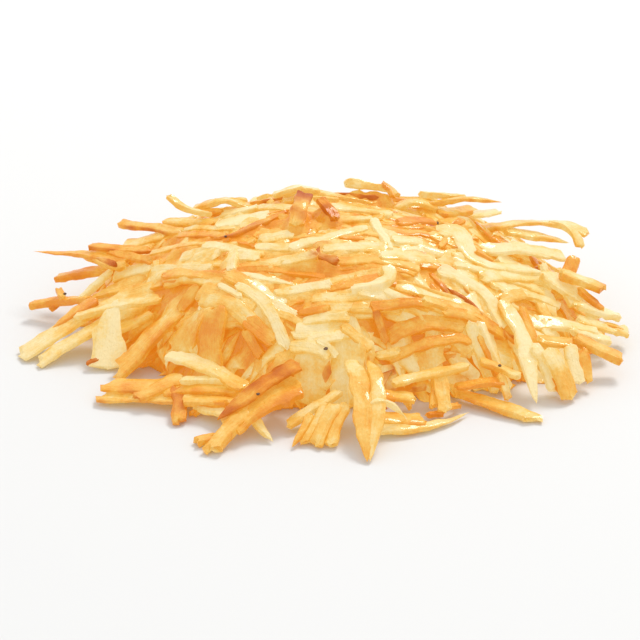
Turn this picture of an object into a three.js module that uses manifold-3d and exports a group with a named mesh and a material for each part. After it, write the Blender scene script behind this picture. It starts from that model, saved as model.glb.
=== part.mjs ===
// A serving of fried, shredded potato lying in a low loose heap on a flat surface.
// Millimetres, +Z up. The long side of the heap runs along X and its gentler slope faces -Y.
import * as THREE from "three";
import { mergeVertices } from "three/addons/utils/BufferGeometryUtils.js";
import Module from "manifold-3d";

const wasm = await Module();
wasm.setup();

// The body of the heap: a flat-topped mound, steep at the back and gentle at the front.
const heapHeight = 29.5;
const domeCentre = { x: 4, y: 16 };
const footRadii = [69, 69, 65, 58, 50, 50, 57, 71, 74, 69, 66, 63, 61, 59, 63, 68]; // anticlockwise from +X
const sideSteepness = 3.0; // power of the fall from the top to the foot
const frontToBack = 0.7; // how much that power drops at the front and grows at the back
const footLip = 1.2; // height of the mound's edge over the surface
const footNotch = 3.4; // how far the edge of the foot wanders in and out between shreds
const footNotches = 17;
const notchFall = 6; // power with which the notches fade towards the middle
const atRim = 0.9999; // share of the radius from which a corner counts as on the foot's rim
const rows = 6;
const columns = 51;
const lumpHeight = 1.1;
const lumpWaves = [8.1, 17, 7.4, 17]; // lengths of the soft lumps' waves, in pairs
const depthBelow = 4; // how far the raw solids go under the surface before the flat cut
const cutterAcross = 400; // block that keeps only what stands over the surface
const cutterHeight = 200;
const weldDistance = 0.0001; // corners closer than this are one

// A shred as it comes off a coarse grater.
const shredWidth = 4.6;
const shredThickness = 2.1;
const tipTaper = 0.55; // share of the width and thickness lost at the free end
const rootTaper = 0.25;
const rimSegments = 5;
const topSegments = 4;
const rootNarrowing = 3; // powers of the narrowing towards each end
const tipNarrowing = 4;
const sunk = 0.55; // share of the thickness that a lying shred sinks into the mound
const rooted = 1.5; // how far the underside of a lying shred goes below the mound's skin
const freeGap = 6; // an underside this far over the skin or more stays free

// Shreds that make the outline: [buried end x, y, z], [free end x, y, z], width, sideways bow.
const rimShreds = [
  // left side, back to front
  [[-46, 40, 15], [-63, 47, 18], 6.0, 1.5],
  [[-44, 28, 18], [-81, 31, 14], 4.2, -2.0],
  [[-50, 34, 14], [-72, 36, 9], 5.6, 1.0],
  [[-50, 22, 12], [-77, 28, 5], 5.4, -1.5],
  [[-54, 16, 9], [-81, 22, 3], 4.6, 2.5],
  [[-40, -4, 17], [-81, -3, 1.2], 5.2, 5.0],
  [[-44, -9, 14], [-75, -9, 1.2], 4.6, 4.0],
  [[-48, -9, 10], [-62, -14, 1.5], 8.0, 1.0],
  [[-30, -15, 15], [-53, -20, 2], 5.6, 1.5],
  [[-28, -26, 9], [-58, -23, 1.4], 7.0, -1.0],
  [[-34, -26, 8], [-34, -41, 1.5], 4.6, 1.0],
  [[-20, -30, 9], [-44, -31, 1.8], 4.8, 1.5],
  // front, left to right
  [[-14, -34, 9], [-25, -56, 1.8], 5.6, 2.0],
  [[-8, -32, 12], [-24, -43, 5], 4.8, -1.0],
  [[-10, -36, 7], [-14, -49, 1.5], 4.4, -1.5],
  [[4, -34, 9], [-7, -50, 1.6], 5.4, -1.0],
  [[4, -36, 8], [0, -51, 1.6], 4.6, 1.0],
  [[7, -32, 13], [12, -60, 1.4], 7.0, 2.5],
  [[12, -34, 8], [23, -47, 1.4], 4.8, -2.0],
  [[13, -38, 3], [37, -42, 1.4], 4.6, -5.0],
  [[22, -30, 9], [30, -41, 1.6], 5.0, 1.0],
  [[28, -28, 9], [55, -39, 1.5], 5.6, -1.0],
  [[34, -24, 10], [50, -32, 3], 4.6, 1.5],
  [[40, -6, 20], [57, -29, 3], 4.4, 3.0],
  [[50, -16, 11], [66, -28, 1.6], 5.6, 1.5],
  [[56, -14, 10], [72, -21, 1.8], 5.4, -1.0],
  [[57, -8, 10], [77, -15, 1.6], 6.4, 1.0],
  // right side, front to back
  [[58, -2, 10], [84, -7, 2], 5.0, -1.0],
  [[58, 6, 11], [86, 8, 2], 5.6, 2.0],
  [[60, 14, 12], [83, 22, 4], 6.0, -1.5],
  [[58, 24, 13], [81, 31, 9], 5.4, 1.0],
  [[52, 32, 17], [76, 37, 15], 4.6, -2.0],
  [[38, 40, 20], [72, 48, 17], 5.6, 2.0],
  // back, right to left
  [[44, 46, 14], [63, 57, 5], 5.0, 1.5],
  [[34, 48, 13], [46, 66, 2], 5.4, -1.0],
  [[22, 50, 12], [27, 69, 2], 4.8, 2.0],
  [[8, 52, 11], [4, 70, 1.6], 5.6, 1.5],
  [[-6, 52, 11], [-15, 69, 2], 4.8, -1.5],
  [[-20, 50, 11], [-32, 67, 1.6], 5.4, 1.5],
  [[-34, 46, 12], [-51, 60, 3], 4.8, -1.0],
  [[-44, 42, 10], [-64, 53, 2], 5.0, 1.5],
];

// Shreds that stand out on top: [one end x, y, lift], [other end x, y, lift], width, sideways bow.
const topShreds = [
  [[-37, 30, 1], [-21, 33, 4], 7.0, 2.0],
  [[-30, 28, 2], [-44, 34, 5], 3.6, 3.0],
  [[-39, 17, 1], [-12, 13, 2], 4.6, -3.0],
  [[-8, 32, 2], [7, 26, 1], 6.0, 1.5],
  [[-5, 28, 5], [-4, 12, 1], 5.0, 0.5],
  [[8, 28, 2], [22, 34, 5], 6.0, 1.0],
  [[17, 22, 1], [19, -1, 2], 5.0, -2.5],
  [[4, 0, 1], [30, -4, 1], 4.6, 2.0],
  [[9, -20, 1], [20, -8, 2], 4.4, -4.0],
  [[26, 30, 1], [46, 38, 3], 6.0, 1.5],
  [[38, 20, 1], [60, 26, 1], 6.0, 2.0],
  [[30, -10, 1], [48, -16, 1], 4.6, 1.0],
  [[-20, -18, 1], [-8, -32, 1], 4.6, 1.5],
  [[-56, 2, 1], [-24, -6, 1], 4.6, 2.0],
];

// The rest of the surface: rings of shreds that point down the slope.
const rings = [
  { at: 0.28, count: 6, reach: 25 },
  { at: 0.54, count: 11, reach: 27 },
  { at: 0.77, count: 17, reach: 24 },
  { at: 0.94, count: 25, reach: 14 },
];
const headingSpread = 0.9; // radians either side of straight down the slope
const bowSpread = 3.0;
const liftSpread = 1.4;
const spacingSpread = 0.25; // share of the even spacing round the heap
const ringReach = [0.8, 1.15]; // shortest and longest, as shares of the ring's reach
const ringWidth = [0.8, 1.25];
const leastLift = 0.6; // share of the thickness that a free end's middle keeps over the surface

let seed = 4127;
function random() {
  seed = (seed * 1103515245 + 12345) % 2147483648;
  return seed / 2147483648;
}

function between(low, high) {
  return low + (high - low) * random();
}

function footRadius(angle) {
  const turn = ((angle / (2 * Math.PI)) * footRadii.length + footRadii.length) % footRadii.length;
  const from = Math.floor(turn);
  const share = (1 - Math.cos((turn - from) * Math.PI)) / 2;
  const next = footRadii[(from + 1) % footRadii.length];
  return footRadii[from % footRadii.length] * (1 - share) + next * share;
}

function lump(x, y) {
  const [first, second, third, fourth] = lumpWaves;
  return lumpHeight * (Math.sin(x / first + y / second) + Math.sin(y / third - x / fourth));
}

// Height of the mound's skin over the surface at a place, and 0 off the mound.
function moundHeight(x, y) {
  const angle = Math.atan2(y - domeCentre.y, x - domeCentre.x);
  const share = Math.hypot(x - domeCentre.x, y - domeCentre.y) / footRadius(angle);
  if (share >= 1) {
    return 0;
  }
  const fall = share ** (sideSteepness + frontToBack * Math.sin(angle));
  return footLip + (heapHeight - footLip) * (1 - fall) + lump(x, y) * (1 - share);
}

function solidOf(geometry) {
  geometry.deleteAttribute("normal");
  geometry.deleteAttribute("uv");
  const merged = mergeVertices(geometry, weldDistance);
  const vertProperties = merged.attributes.position.array;
  const triVerts = new Uint32Array(merged.index.array);
  return new wasm.Manifold(new wasm.Mesh({ numProp: 3, vertProperties, triVerts }));
}

function moundSolid() {
  const outline = [new THREE.Vector2(0, -depthBelow)];
  outline.push(new THREE.Vector2(1, -depthBelow));
  for (let row = 0; row < rows; row += 1) {
    outline.push(new THREE.Vector2(Math.cos((row / rows) * (Math.PI / 2)), 1));
  }
  outline.push(new THREE.Vector2(0, 1));
  const geometry = new THREE.LatheGeometry(outline, columns);
  geometry.rotateX(Math.PI / 2);
  const place = geometry.attributes.position;
  for (let i = 0; i < place.count; i += 1) {
    const share = Math.min(Math.hypot(place.getX(i), place.getY(i)), 1);
    const angle = Math.atan2(place.getY(i), place.getX(i));
    const notch = (footNotch / 2) * (Math.sin(footNotches * angle) - 1) * share ** notchFall;
    const reach = share * footRadius(angle) + notch;
    const x = domeCentre.x + reach * Math.cos(angle);
    const y = domeCentre.y + reach * Math.sin(angle);
    const top = share < atRim ? moundHeight(x, y) : footLip;
    place.setXYZ(i, x, y, place.getZ(i) > 0 ? top : -depthBelow);
  }
  return solidOf(geometry);
}

// A strip from one end to the other that bows sideways, narrows to its second end and never
// dives through the mound's skin deeper than it should sink.
function shredSolid(start, end, width, bow, segments) {
  const chord = new THREE.Vector3().subVectors(end, start);
  const side = new THREE.Vector3(-chord.y, chord.x, 0).normalize();
  const geometry = new THREE.BoxGeometry(1, width, shredThickness, segments, 1, 1);
  const place = geometry.attributes.position;
  const middle = new THREE.Vector3();
  for (let i = 0; i < place.count; i += 1) {
    const along = place.getX(i) + 0.5;
    const narrow = 1 - tipTaper * along ** tipNarrowing - rootTaper * (1 - along) ** rootNarrowing;
    const bulge = 4 * along * (1 - along) * bow;
    middle.copy(start).addScaledVector(chord, along).addScaledVector(side, bulge);
    const skin = moundHeight(middle.x, middle.y) + shredThickness * (0.5 - sunk);
    const height = Math.max(middle.z, skin) + place.getZ(i) * narrow;
    middle.addScaledVector(side, place.getY(i) * narrow);
    const below = moundHeight(middle.x, middle.y) - rooted;
    const lying = place.getZ(i) < 0 && below > 0 && height - below < freeGap;
    place.setXYZ(i, middle.x, middle.y, lying ? Math.min(height, below) : height);
  }
  return solidOf(geometry);
}

function onSkin([x, y, lift]) {
  return new THREE.Vector3(x, y, moundHeight(x, y) + lift);
}

const solids = [moundSolid()];

for (const [start, end, width, bow] of rimShreds) {
  solids.push(shredSolid(new THREE.Vector3(...start), new THREE.Vector3(...end), width, bow, rimSegments));
}

for (const [start, end, width, bow] of topShreds) {
  solids.push(shredSolid(onSkin(start), onSkin(end), width, bow, topSegments));
}

for (const ring of rings) {
  for (let i = 0; i < ring.count; i += 1) {
    const angle = ((i + between(-spacingSpread, spacingSpread)) / ring.count) * 2 * Math.PI;
    const heading = angle + between(-headingSpread, headingSpread);
    const reach = ring.at * footRadius(angle);
    const half = (ring.reach / 2) * between(...ringReach);
    const x = domeCentre.x + reach * Math.cos(angle);
    const y = domeCentre.y + reach * Math.sin(angle);
    const start = onSkin([x - half * Math.cos(heading), y - half * Math.sin(heading), 0]);
    const end = onSkin([x + half * Math.cos(heading), y + half * Math.sin(heading), between(0, liftSpread)]);
    end.z = Math.max(end.z, shredThickness * leastLift);
    const width = shredWidth * between(...ringWidth);
    solids.push(shredSolid(start, end, width, between(-bowSpread, bowSpread), topSegments));
  }
}

const loose = solids.reduce((heap, solid) => heap.add(solid));

// The flat underside, where the heap lies on the surface.
const cutter = new THREE.BoxGeometry(cutterAcross, cutterAcross, cutterHeight);
cutter.translate(0, 0, cutterHeight / 2);
const heap = loose.intersect(solidOf(cutter));

const mesh = heap.getMesh();
const shape = new THREE.BufferGeometry();
shape.setAttribute("position", new THREE.BufferAttribute(new Float32Array(mesh.vertProperties), 3));
shape.setIndex(new THREE.BufferAttribute(new Uint32Array(mesh.triVerts), 1));
shape.computeBoundingBox();
const box = shape.boundingBox;
shape.translate(-(box.min.x + box.max.x) / 2, -(box.min.y + box.max.y) / 2, 0);
shape.computeVertexNormals();

const friedPotato = new THREE.MeshStandardMaterial({ color: 0xf0b45c, roughness: 0.38, metalness: 0 });
friedPotato.name = "fried_potato";

const heapMesh = new THREE.Mesh(shape, friedPotato);
heapMesh.name = "hash_brown_heap";

const part = new THREE.Group();
part.name = "hash_brown";
part.add(heapMesh);

export default part;
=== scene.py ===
import bmesh
import bpy
import math
import numpy as np
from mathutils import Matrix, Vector
from mathutils.bvhtree import BVHTree


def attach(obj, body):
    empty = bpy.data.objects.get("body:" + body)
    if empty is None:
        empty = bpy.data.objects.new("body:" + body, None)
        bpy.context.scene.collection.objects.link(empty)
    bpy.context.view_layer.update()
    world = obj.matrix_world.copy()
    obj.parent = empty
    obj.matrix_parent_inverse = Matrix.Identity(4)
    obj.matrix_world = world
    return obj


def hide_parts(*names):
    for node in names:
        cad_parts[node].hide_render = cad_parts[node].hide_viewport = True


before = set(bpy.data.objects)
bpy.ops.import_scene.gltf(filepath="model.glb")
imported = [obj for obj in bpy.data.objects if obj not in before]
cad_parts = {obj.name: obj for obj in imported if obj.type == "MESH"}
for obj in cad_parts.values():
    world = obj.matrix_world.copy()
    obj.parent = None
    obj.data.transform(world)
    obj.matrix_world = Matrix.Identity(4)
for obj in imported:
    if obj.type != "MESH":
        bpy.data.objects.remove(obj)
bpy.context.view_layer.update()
print("frame loaded")

rng = np.random.default_rng(2207)
mm = 0.001

# The room the heap fills. Everything here is worked out in millimetres in the part's own frame,
# and goes to metres only when a mesh is made.

heap = {
    "cell": 0.5,  # spacing of the height map
    "reach": (95.0, 80.0),  # half length and half depth of the height map
    "measured": 4,  # the CAD heap is measured at each fourth cell
    "middle": (1.5, 9.0),  # where the slopes point away from
    # how far the close-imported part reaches, anticlockwise from +X; only loose ends go further
    "packedReach": (75, 70, 64, 58, 54, 54, 60, 69, 68, 58, 54, 54, 48, 48, 56, 70),
    "packedFall": 2.6,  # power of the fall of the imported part's side
    "blur": 4.0,  # how far single shreds of the outline are smoothed away
    "shredDepth": 7.0,  # the first shreds are laid this deep under the outline
    "lowest": 1.0,  # where that would be lower than this, they lie on the table
    "tone": 0.6,  # how cooked the inside looks
}

nx = int(2 * heap["reach"][0] / heap["cell"]) + 1
ny = int(2 * heap["reach"][1] / heap["cell"]) + 1
gridX = np.arange(nx) * heap["cell"] - heap["reach"][0]
gridY = np.arange(ny) * heap["cell"] - heap["reach"][1]


def columnOf(x):
    return (np.asarray(x) + heap["reach"][0]) / heap["cell"]


def rowOf(y):
    return (np.asarray(y) + heap["reach"][1]) / heap["cell"]


def betweenCells(field, rows, columns):  # value of a map between its cells
    row = np.minimum(rows.astype(int), field.shape[0] - 2)
    column = np.minimum(columns.astype(int), field.shape[1] - 2)
    pastRow = rows - row
    pastColumn = columns - column
    near = field[row, column] * (1 - pastColumn) + field[row, column + 1] * pastColumn
    far = field[row + 1, column] * (1 - pastColumn) + field[row + 1, column + 1] * pastColumn
    return near * (1 - pastRow) + far * pastRow


def readMap(field, x, y):
    return betweenCells(field, np.clip(rowOf(y), 0, ny - 1.001), np.clip(columnOf(x), 0, nx - 1.001))


def blurred(field, size):  # three box blurs, which come close to a gaussian
    width = max(1, int(round(size / heap["cell"])))
    for axis in (0, 1):
        for again in range(3):
            first = np.repeat(field.take([0], axis), width, axis)
            last = np.repeat(field.take([-1], axis), width, axis)
            total = np.cumsum(np.concatenate([first, field, last], axis), axis)
            upper = total.take(range(2 * width, total.shape[axis]), axis)
            lower = total.take(range(0, total.shape[axis] - 2 * width), axis)
            field = (upper - lower) / (2 * width)
    return field


def treeOf(mesh):
    return BVHTree.FromPolygons([v.co for v in mesh.vertices], [p.vertices for p in mesh.polygons])


def lookDown(tree, x, y, ceiling=0.1):  # height of the first thing met, in metres, or 0
    hit = tree.ray_cast(Vector((x * mm, y * mm, ceiling)), Vector((0, 0, -1)))[0]
    return hit.z if hit else 0.0


def solidTop():  # looks straight down on the CAD heap on a coarse grid
    tree = treeOf(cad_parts["hash_brown_heap"].data)
    step = heap["measured"]
    coarse = np.zeros((ny // step + 1, nx // step + 1))
    for row in range(coarse.shape[0]):
        for column in range(coarse.shape[1]):
            x = column * step * heap["cell"] - heap["reach"][0]
            y = row * step * heap["cell"] - heap["reach"][1]
            coarse[row, column] = lookDown(tree, x, y) / mm
    return betweenCells(coarse, np.arange(ny)[:, None] / step, np.arange(nx)[None, :] / step)


def packedShare(x, y):  # 0 in the middle of the heap and 1 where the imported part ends
    dx = x - heap["middle"][0]
    dy = y - heap["middle"][1]
    reach = heap["packedReach"]
    turn = (np.arctan2(dy, dx) / (2 * math.pi) * len(reach)) % len(reach)
    before = turn.astype(int) % len(reach)
    share = (1 - np.cos((turn - turn.astype(int)) * math.pi)) / 2
    edge = np.take(reach, before) * (1 - share) + np.take(reach, (before + 1) % len(reach)) * share
    return np.hypot(dx, dy) / edge


whole = blurred(solidTop(), heap["blur"])
side = np.clip(1 - packedShare(*np.meshgrid(gridX, gridY)) ** heap["packedFall"], 0, 1)
target = np.minimum(whole, whole.max() * side)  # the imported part's outline
lying = np.maximum(target - heap["shredDepth"], 0)  # height of whatever has been laid so far
lying[lying < heap["lowest"]] = 0
toneOnTop = np.full((ny, nx), heap["tone"])  # and the tone of what lies uppermost
print("heap measured")

# smooth noise in space, the same for every piece
latticeSize = 32
lattice = rng.random((latticeSize,) * 3)


def softNoise(place, size):  # from -1 to 1
    p = np.asarray(place) / size
    base = np.floor(p).astype(int)
    f = p - base
    f = f * f * (3 - 2 * f)
    total = 0
    for i in (0, 1):
        for j in (0, 1):
            for k in (0, 1):
                weight = (
                    (f[..., 0] if i else 1 - f[..., 0])
                    * (f[..., 1] if j else 1 - f[..., 1])
                    * (f[..., 2] if k else 1 - f[..., 2])
                )
                cell = (base + (i, j, k)) % latticeSize
                total = total + weight * lattice[cell[..., 0], cell[..., 1], cell[..., 2]]
    return total * 2 - 1


# how a shred comes to lie on what is under it

laying = {
    "curve": 24,  # points of the smooth curve for each point given
    "step": 1.4,  # mm between the points that settle
    "fewest": 7,  # of those
    "felt": (-0.8, -0.4, 0, 0.4, 0.8),  # where it rests on the others, across its half width
    "onHighest": 0.35,  # how much it rests on the highest of them
    "onAll": 0.65,  # and how much on their mean
    "steps": 26,  # of settling
    "rise": 0.8,  # mm it may be lifted by its own stiffness at each step
    "droop": 0.16,  # mm a free end sinks at each step
    "smoothLean": 3,  # points to each side that its lean is smoothed over
    "steepest": 0.75,  # slope of what it rests on that it still leans with
    "lines": 15,  # lines along it that mark its height on the map
    "outermost": 0.95,  # how far out they are, against its half width
    "marks": 4,  # on each, for each point that settles
    "rounded": 0.6,  # how much lower its sides are than its middle, against its half thickness
}


def unit(ways):
    return ways / (np.linalg.norm(ways, axis=1)[:, None] + 1e-9)


def leftOf(heading):
    return np.stack([-heading[:, 1], heading[:, 0]], 1)


def smoothPath(points):  # a curve through hand-set points, cut into even steps
    points = np.array(points, float)
    if len(points) == 2:
        points = np.array([points[0], (points[0] + points[1]) / 2, points[1]])
    ends = [2 * points[0] - points[1], *points, 2 * points[-1] - points[-2]]
    curve = []
    for a, b, c, d in zip(ends, ends[1:], ends[2:], ends[3:]):
        for t in np.linspace(0, 1, laying["curve"], endpoint=False):
            bend = (2 * a - 5 * b + 4 * c - d) * t**2
            curve.append(0.5 * (2 * b + (c - a) * t + bend + (3 * b - a - 3 * c + d) * t**3))
    curve = np.array(curve + [points[-1]])
    along = np.concatenate([[0], np.cumsum(np.linalg.norm(np.diff(curve[:, :2], axis=0), axis=1))])
    count = max(laying["fewest"], int(along[-1] / laying["step"]) + 1)
    even = np.linspace(0, along[-1], count)
    return np.stack([np.interp(even, along, curve[:, k]) for k in range(3)], 1), along[-1]


def layShred(points, width, thick, sink):
    # points: x, y and the least height; returns the path of its middle, its roll and its length
    path, length = smoothPath(points)
    plan = path[:, :2]
    side = leftOf(unit(np.gradient(plan, axis=0)))
    across = np.array(laying["felt"])
    spots = plan[:, None, :] + side[:, None, :] * (across[None, :, None] * width / 2)
    ground = readMap(lying, spots[..., 0], spots[..., 1])
    bed = laying["onHighest"] * ground.max(1) + laying["onAll"] * ground.mean(1)
    bed = np.maximum(bed - sink * thick, np.where(path[:, 2] > 0, path[:, 2] - thick / 2, 0))
    z = bed.copy()
    for step in range(laying["steps"]):
        pulled = z.copy()
        pulled[1:-1] = (z[:-2] + z[2:]) / 2
        pulled[0] = 2 * z[1] - z[2] - laying["droop"]
        pulled[-1] = 2 * z[-2] - z[-3] - laying["droop"]
        z = np.maximum(bed, np.minimum(pulled, z + laying["rise"]))
    slope = (ground[:, 3:].mean(1) - ground[:, :2].mean(1)) / (width * 0.6)  # 0.6 widths apart
    far = laying["smoothLean"]
    slope = np.convolve(np.pad(slope, far, mode="edge"), np.ones(2 * far + 1) / (2 * far + 1), "valid")
    roll = np.arctan(np.clip(slope, -laying["steepest"], laying["steepest"]))
    return np.column_stack([plan, z + thick / 2]), roll, length


def raiseMap(middle, width, thick, roll, profile, tone):  # what comes later lies on this shred
    whole = np.arange(len(middle))
    dense = np.linspace(0, len(middle) - 1, len(middle) * laying["marks"])
    place = np.stack([np.interp(dense, whole, middle[:, k]) for k in range(3)], 1)
    lean = np.interp(dense, whole, roll)
    half = np.interp(dense, whole, profile) * width / 2
    heading = unit(np.gradient(place[:, :2], axis=0))
    for v in np.linspace(-laying["outermost"], laying["outermost"], laying["lines"]):
        x = place[:, 0] - heading[:, 1] * v * half
        y = place[:, 1] + heading[:, 0] * v * half
        z = place[:, 2] + v * half * np.sin(lean) + thick / 2 * (1 - v**4 * laying["rounded"])
        column = np.clip(np.round(columnOf(x)).astype(int), 0, nx - 1)
        row = np.clip(np.round(rowOf(y)).astype(int), 0, ny - 1)
        np.maximum.at(lying, (row, column), z)
        won = z >= lying[row, column] - 0.001
        toneOnTop[row[won], column[won]] = tone


# one shred of potato

shred = {
    "ringStep": 1.15,  # mm between the rings of its mesh
    "endRings": 6,  # more of them, for its ends
    "rings": (10, 32),  # fewest and most
    "drawnToEnds": 0.55,  # how much the rings crowd towards the ends
    "even": 0.45,  # and how much they are spaced evenly
    # the cut section, as shares of its half width and half thickness
    "section": [
        (1, -0.6), (1, 0.55), (0.86, 0.95), (0.4, 1.02), (0, 1), (-0.4, 1.02), (-0.86, 0.95), (-1, 0.55),
        (-1, -0.6), (-0.86, -0.95), (-0.3, -1), (0.3, -1), (0.86, -0.95),
    ],
    # mm of each kind of end, and the power of its curve
    "ends": {"blunt": (0.7, 6.0), "round": (1.8, 2.6), "taper": (12.0, 1.6), "spike": (26.0, 1.15)},
    "endShare": 0.8,  # an end takes up no more of its length than this
    "tipWidth": 0.02,  # share of its width that is left at the very end
    "tornEnd": 2.5,  # mm of an end that is ragged
    "toastedEnd": (7, 1.3),  # mm of an end that browns, and the power by which that fades
    "tipTone": 1.5,  # power by which its tone goes over to the tip's
    "crustAllOver": 0.75,  # share of its crust that is there before it gets uneven
    "crustAtSides": 0.6,  # and of the crust along its sides
    # how uneven it is: by how much, and over how many mm
    "wander": (0.6, 7.0),  # mm to the side
    "wavyWidth": (0.16, 5.0),  # share of its width
    "wavyDepth": (0.2, 6.0),  # share of its thickness
    "lumpy": (0.18, 2.4),  # mm
    "grainy": (0.14, 1.3),  # mm
    "patchy": (0.24, 7.0),  # of its tone
    "speckled": (0.16, 2.4),  # of its tone
    "crusty": (0.35, 3.0),  # share of its crust
    "edgeCrust": (0.8, 4.0),  # share of the crust along its sides
    "fray": 2.2,  # mm between the frays of its sides
    "blister": 1.5,  # mm across a blister
    "ridged": 0.14,  # mm of ridges along it, left by the grater
    "ridge": (11, 0.9),  # mm of length and width of a ridge
    "floor": 0.12,  # mm over the table that it stays at the least
    "buried": 7.0,  # mm under the outline at which its painted shade, a more golden tone, is full
}
sectionX, sectionZ = np.array(shred["section"]).T

# how a shred looks unless it says otherwise: its two ends, its shape, and how it cooked
plainLook = {
    "start": "round",
    "finish": "round",
    "twist": 0.0,  # radians from end to end
    "roll": 0.0,  # radians all along
    "cup": 0.0,  # how far its sides curl up
    "torn": 0.6,  # mm of raggedness at its ends
    "slant": 0.0,  # how far off square its ends are cut
    "ragged": 0.2,  # share by which its sides are frayed
    "blister": 0.0,  # mm of blisters
    "tone": 0.4,  # from creamy at 0 to deep amber at 1
    "toneEdge": 0.22,  # more of it along the sides
    "brown": 0.0,  # crust all over, from 0 to 1
    "brownEdge": 0.0,
    "brownStart": 0.0,
    "brownTip": 0.0,
}


def uneven(kind, place):  # what is added to a place only makes one noise differ from the next
    amount, size = shred[kind]
    return amount * softNoise(place, size)


def endShape(s, length, start, finish):  # share of the full width along the length
    full = 1
    for fromEnd, kind in ((s, start), (1 - s, finish)):
        reach, power = shred["ends"][kind]
        share = np.clip(fromEnd * length / min(reach, length * shred["endShare"]), 0, 1)
        full = full * (1 - (1 - share) ** power) ** (1 / power)
    return np.maximum(full, shred["tipWidth"])


def ringFrames(middle, roll, length, twist, key):
    # rings from 0 to 1 along it, their middles, and the ways ahead, to the side and up
    n = int(np.clip(length / shred["ringStep"] + shred["endRings"], *shred["rings"]))
    s = 0.5 - 0.5 * np.cos(np.linspace(0, math.pi, n))
    s = shred["drawnToEnds"] * s + shred["even"] * np.linspace(0, 1, n)
    whole = np.linspace(0, 1, len(middle))
    place = np.stack([np.interp(s, whole, middle[:, k]) for k in range(3)], 1)
    for again in range(2):
        place[1:-1] = (place[:-2] + 2 * place[1:-1] + place[2:]) / 4
    lean = (np.interp(s, whole, roll) + twist * (s - 0.5))[:, None]
    ahead = unit(np.gradient(place, axis=0))
    flat = unit(np.column_stack([-ahead[:, 1], ahead[:, 0], np.zeros(n)]))
    over = np.cross(ahead, flat)
    run = np.column_stack([s * length, np.zeros(n), np.zeros(n)]) + key
    place = place + flat * uneven("wander", run + 20)[:, None]
    side = flat * np.cos(lean) + over * np.sin(lean)
    up = over * np.cos(lean) - flat * np.sin(lean)
    return s, run, place, ahead, side, up


def cookedBy(s, length, vert, look, key):  # tone, crust, painted shade by depth in the heap, and closeness to a side
    reach, fade = shred["toastedEnd"]
    toEnd = np.minimum(s * length / reach, 1)
    toTip = np.minimum((1 - s) * length / reach, 1)
    browned = look["brownStart"] * (1 - toEnd) ** fade + look["brownTip"] * (1 - toTip) ** fade
    browned = browned[:, None] + look["brown"] * (shred["crustAllOver"] + uneven("crusty", vert + key))
    toSide = np.abs(sectionX)[None, :]
    edge = toSide**3 * look["brownEdge"] * (shred["crustAtSides"] + uneven("edgeCrust", vert + key + 3))
    browned = np.clip(browned + edge, 0, 1)
    tone = look["tone"] + uneven("patchy", vert + key + 7) + uneven("speckled", vert + key + 5)
    tone = tone + (look.get("toneTip", look["tone"]) - look["tone"]) * s[:, None] ** shred["tipTone"]
    tone = np.clip(tone + look["toneEdge"] * toSide**3, 0, 1)
    # painted shade: the deeper a point lies under the heap's outline, the more golden its tone is made
    under = readMap(target, vert[..., 0], vert[..., 1]) - vert[..., 2]
    buried = np.clip(under / shred["buried"], 0, 1)
    return np.stack([tone, browned, buried, np.broadcast_to(toSide, tone.shape)], -1)


def tornEnds(s, ahead, length, width, look, key):  # how each point of the ends moves, torn and cut aslant
    torn = softNoise(np.column_stack([sectionX * 2.2, sectionX * 0, sectionX * 0]) + key, 1.0) * look["torn"]
    torn = (torn + sectionX * look["slant"] * width / 2)[None, :, None]
    nearStart = 1 - np.clip(s * length / shred["tornEnd"], 0, 1)
    nearFinish = 1 - np.clip((1 - s) * length / shred["tornEnd"], 0, 1)
    return ahead[:, None, :] * torn * (nearFinish - nearStart)[:, None, None]


def swellAt(vert, along, sideways, level, look, key):  # lumps, grains, blisters and the grater's ridges
    swell = uneven("lumpy", vert + key) + uneven("grainy", vert + key)
    swell = swell + look["blister"] * np.clip(softNoise(vert + key + 9, shred["blister"]), 0, 1)
    ridge = shred["ridge"]
    lines = np.stack([along / ridge[0] + key[0], sideways / ridge[1] + key[1], level + key[2]], -1)
    return swell + shred["ridged"] * softNoise(lines, 1.0) * np.abs(sectionZ)


def shredMesh(middle, roll, length, width, thick, look):
    key = rng.random(3) * 200
    s, run, place, ahead, side, up = ringFrames(middle, roll, length, look["twist"], key)
    full = endShape(s, length, look["start"], look["finish"])
    # the section, with each side and the thickness uneven along the length
    left, right = [
        1 + uneven("wavyWidth", run + 40 * k) + look["ragged"] * softNoise(run + 90 * k, shred["fray"])
        for k in (1, 2)
    ]
    half = (width / 2 * full)[:, None]
    sideways = sectionX * half * np.where(sectionX > 0, left[:, None], right[:, None])
    depth = thick / 2 * np.minimum(1, full * 1.25) * (1 + uneven("wavyDepth", run + 80))
    curl = look["cup"] * half * (sectionX**2 - 0.4)
    vert = (
        place[:, None, :]
        + side[:, None, :] * sideways[..., None]
        + up[:, None, :] * (sectionZ * depth[:, None] + curl)[..., None]
        + tornEnds(s, ahead, length, width, look, key)
    )
    # its surface, which is smoother towards the ends
    outward = side[:, None, :] * sectionX[None, :, None] * 0.6 + up[:, None, :] * sectionZ[None, :, None]
    along = np.broadcast_to((s * length)[:, None], sideways.shape)
    level = np.broadcast_to(sectionZ, sideways.shape)
    swell = swellAt(vert, along, sideways, level, look, key)
    vert = vert + outward * (swell * np.minimum(1, full * 1.3)[:, None])[..., None]
    vert[..., 2] = np.maximum(vert[..., 2], shred["floor"])
    tips = np.array([place[0] * 0.98 + place[1] * 0.02, place[-1] * 0.98 + place[-2] * 0.02])
    tips[:, 2] = np.maximum(tips[:, 2], shred["floor"])
    cook = cookedBy(s, length, vert, look, key)
    grain = np.stack([along + key[0], sideways + key[1], level * thick + key[2]], -1)
    verts = np.concatenate([vert.reshape(-1, 3), tips])
    cooksAndShades = np.concatenate([cook.reshape(-1, 4), [cook[0, 0], cook[-1, 0]]])
    grains = np.concatenate([grain.reshape(-1, 3), [grain[0].mean(0), grain[-1].mean(0)]])
    return verts, cooksAndShades, grains, full


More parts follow.
